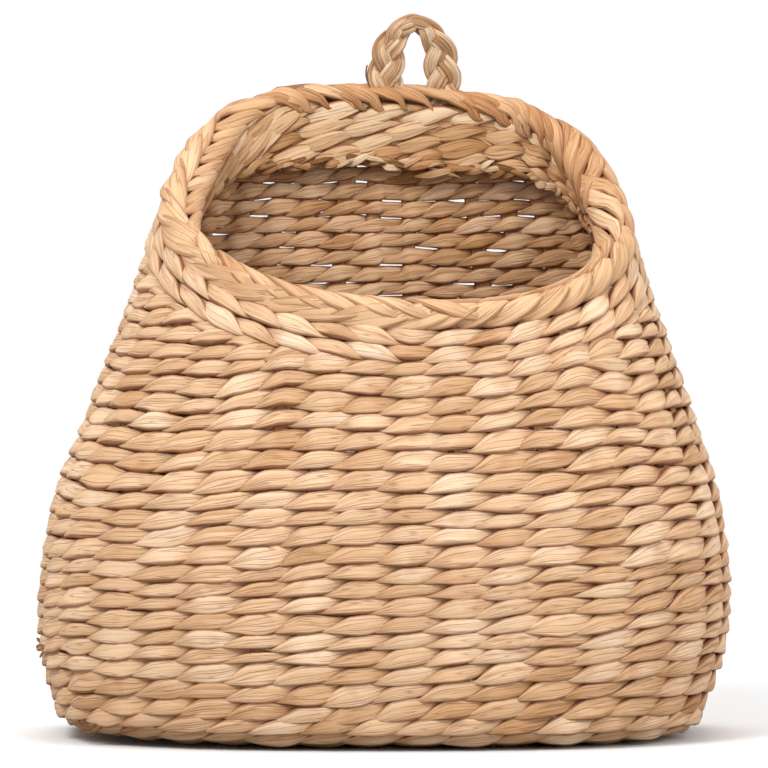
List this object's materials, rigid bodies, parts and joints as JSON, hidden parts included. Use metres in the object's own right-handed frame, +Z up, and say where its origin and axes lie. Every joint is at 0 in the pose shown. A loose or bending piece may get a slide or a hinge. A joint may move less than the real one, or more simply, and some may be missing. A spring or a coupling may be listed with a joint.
{
  "type": "hanging wall basket",
  "caption": "Twined wall basket of dried leaf strands: flat back, bulging front, slanted open mouth with a rolled rim, and a plaited loop to hang it by.",
  "frame": {"origin": "under the middle of the basket, on the plane that its base rests on", "axes": "+X to the right as seen from the front, +Y towards the wall that it hangs on, +Z up"},
  "size_m": [0.2999, 0.16, 0.3107],
  "materials": {
    "weft": "matte dried leaf strands, twined, with a fine lengthwise fibre",
    "stake": "matte dried leaf, paler and more fibrous than the weft",
    "border": "matte dried leaf strands folded over in a diagonal roll",
    "cuff": "matte dried leaf strands, shaded, with a cut ragged edge",
    "loop": "matte dried leaf strands in a flat plait of three"
  },
  "bodies": {
    "basket": {"base_mat": "weft", "stake_01": "stake", "stake_02": "stake", "stake_03": "stake", "stake_04": "stake", "stake_05": "stake", "stake_06": "stake", "stake_07": "stake", "stake_08": "stake", "stake_09": "stake", "stake_10": "stake", "stake_11": "stake", "stake_12": "stake", "stake_13": "stake", "stake_14": "stake", "stake_15": "stake", "stake_16": "stake", "stake_17": "stake", "stake_18": "stake", "course_01": "weft", "course_02": "weft", "course_03": "weft", "course_04": "weft", "course_05": "weft", "course_06": "weft", "course_07": "weft", "course_08": "weft", "course_09": "weft", "course_10": "weft", "course_11": "weft", "course_12": "weft", "course_13": "weft", "course_14": "weft", "course_15": "weft", "course_16": "weft", "course_17": "weft", "course_18": "weft", "course_19": "weft", "course_20": "weft", "packing_row_01": "weft", "packing_row_02": "weft", "packing_row_03": "weft", "packing_row_04": "weft", "packing_row_05": "weft", "packing_row_06": "weft", "packing_row_07": "weft", "packing_row_08": "weft", "packing_row_09": "weft", "packing_row_10": "weft", "packing_row_11": "weft", "packing_row_12": "weft", "rim_course_01": "weft", "rim_course_02": "weft", "inner_cuff": "cuff", "rim_roll": "border", "loop_anchor": "loop"},
    "loop": {"hanging_loop": "loop"}
  },
  "joints": [
    {"name": "loop_fold", "type": "hinge", "parent": "basket", "child": "loop", "pos_m": [0.013, 0.0688, 0.2833], "axis": [1, 0, 0], "range_deg": [-60, 80]}
  ]
}
